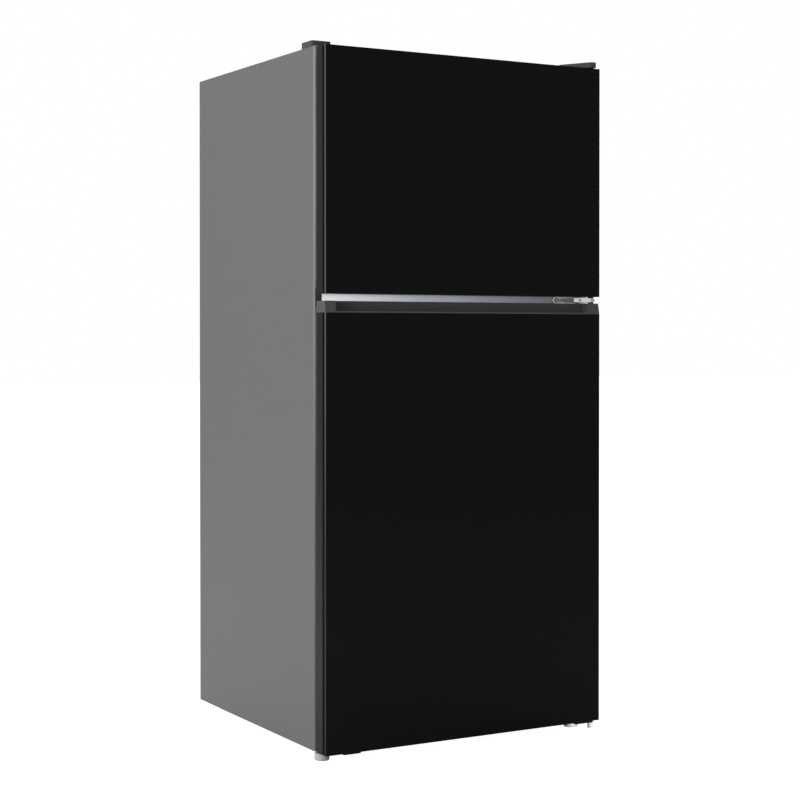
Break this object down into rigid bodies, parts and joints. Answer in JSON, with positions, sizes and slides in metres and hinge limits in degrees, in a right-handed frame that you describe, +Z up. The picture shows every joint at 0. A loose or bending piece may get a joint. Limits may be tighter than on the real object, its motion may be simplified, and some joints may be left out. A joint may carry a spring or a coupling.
{
  "type": "top freezer refrigerator",
  "caption": "Free-standing refrigerator with a freezer compartment above a fresh food compartment, flat black glass doors hinged on the right and a recessed pull channel.",
  "frame": {"origin": "centre of the footprint on the floor", "axes": "+Z up, -Y out of the doors, +X to the right of a person facing the doors"},
  "size_m": [0.756, 0.713, 1.6495],
  "materials": {
    "painted_side": "satin",
    "galvanised": "satin",
    "bright_steel": "satin",
    "pale_pin": "satin",
    "black_steel": "satin",
    "dark_plastic": "matte",
    "black_glass": "gloss",
    "white_liner": "satin",
    "foam": "matte",
    "seal_rubber": "matte",
    "clear_plastic": "gloss",
    "shelf_pane": "gloss",
    "shelf_rim": "satin",
    "bare_aluminium": "satin"
  },
  "bodies": {
    "cabinet": {"outer_wrapper": "painted_side", "rear_panel": "galvanised", "base_pan": "galvanised", "compressor_base": "galvanised", "machine_cover": "galvanised", "mullion_bar": "bright_steel", "middle_hinge": "bright_steel", "hinge_screws": "bright_steel", "bottom_hinge_pin": "pale_pin", "top_hinge": "black_steel", "bottom_hinge": "black_steel", "compressor": "black_steel", "mullion_end_block": "dark_plastic", "hinge_cover_right": "dark_plastic", "hinge_cover_left": "dark_plastic", "drain_pan": "dark_plastic", "condenser_fan_motor": "dark_plastic", "freezer_liner": "white_liner", "fresh_food_liner": "white_liner", "evaporator_cover": "white_liner", "control_housing": "white_liner", "insulation": "foam", "compressor_grommets": "seal_rubber", "cord_gland": "seal_rubber", "lamp_lens": "clear_plastic", "shelf_glass": "shelf_pane", "crisper_cover_glass": "shelf_pane", "freezer_shelf_glass": "shelf_pane", "shelf_frames": "shelf_rim", "crisper_cover_frame": "shelf_rim", "freezer_shelf_frame": "shelf_rim", "evaporator": "bare_aluminium", "condenser": "bare_aluminium", "evaporator_fan_motor": "bare_aluminium"},
    "freezer_door": {"freezer_door_glass": "black_glass", "freezer_door_rails": "dark_plastic", "freezer_door_top_cap": "dark_plastic", "freezer_door_bottom_cap": "dark_plastic", "freezer_door_foam": "foam", "freezer_door_liner": "white_liner", "freezer_door_gasket": "seal_rubber", "freezer_door_bins": "clear_plastic"},
    "fridge_door": {"fridge_door_glass": "black_glass", "fridge_door_rails": "dark_plastic", "fridge_door_bottom_cap": "dark_plastic", "fridge_door_handle_cap": "dark_plastic", "fridge_door_foam": "foam", "fridge_door_liner": "white_liner", "fridge_door_gasket": "seal_rubber", "fridge_door_bins": "clear_plastic"},
    "dairy_flap": {"dairy_flap": "clear_plastic"},
    "crisper_left": {"crisper_left": "clear_plastic"},
    "crisper_right": {"crisper_right": "clear_plastic"},
    "foot_left": {"foot_left": "pale_pin"},
    "foot_right": {"foot_right": "pale_pin"},
    "roller_left": {"roller_left": "dark_plastic"},
    "roller_right": {"roller_right": "dark_plastic"},
    "condenser_fan_blade": {"condenser_fan_blade": "dark_plastic"},
    "evaporator_fan_blade": {"evaporator_fan_blade": "white_liner"},
    "temperature_knob": {"temperature_knob": "white_liner"}
  },
  "joints": [
    {"name": "freezer_door_hinge", "type": "hinge", "parent": "cabinet", "child": "freezer_door", "pos_m": [0.365, -0.3375, 1.0685], "axis": [0, 0, 1], "range_deg": [0, 125]},
    {"name": "fridge_door_hinge", "type": "hinge", "parent": "cabinet", "child": "fridge_door", "pos_m": [0.365, -0.3375, 0.027], "axis": [0, 0, 1], "range_deg": [0, 125]},
    {"name": "dairy_flap_hinge", "type": "hinge", "parent": "fridge_door", "child": "dairy_flap", "pos_m": [0, -0.291, 0.925], "axis": [1, 0, 0], "range_deg": [0, 60]},
    {"name": "crisper_left_slide", "type": "slide", "parent": "cabinet", "child": "crisper_left", "axis": [0, -1, 0], "range_m": [0, 0.05]},
    {"name": "crisper_right_slide", "type": "slide", "parent": "cabinet", "child": "crisper_right", "axis": [0, -1, 0], "range_m": [0, 0.05]},
    {"name": "foot_left_thread", "type": "slide", "parent": "cabinet", "child": "foot_left", "axis": [0, 0, -1], "range_m": [0, 0.012]},
    {"name": "foot_right_thread", "type": "slide", "parent": "cabinet", "child": "foot_right", "axis": [0, 0, -1], "range_m": [0, 0.012]},
    {"name": "roller_left_axle", "type": "hinge", "parent": "cabinet", "child": "roller_left", "pos_m": [-0.312, 0.2965, 0.015], "axis": [1, 0, 0], "continuous": true},
    {"name": "roller_right_axle", "type": "hinge", "parent": "cabinet", "child": "roller_right", "pos_m": [0.312, 0.2965, 0.015], "axis": [1, 0, 0], "continuous": true},
    {"name": "condenser_fan_shaft", "type": "hinge", "parent": "cabinet", "child": "condenser_fan_blade", "pos_m": [-0.15, 0.249, 0.108], "axis": [1, 0, 0], "continuous": true},
    {"name": "evaporator_fan_shaft", "type": "hinge", "parent": "cabinet", "child": "evaporator_fan_blade", "pos_m": [0, 0.2335, 1.4845], "axis": [0, 1, 0], "continuous": true},
    {"name": "temperature_knob_shaft", "type": "hinge", "parent": "cabinet", "child": "temperature_knob", "pos_m": [0.07, -0.07, 1.0085], "axis": [0, -1, 0], "range_deg": [-135, 135]}
  ]
}
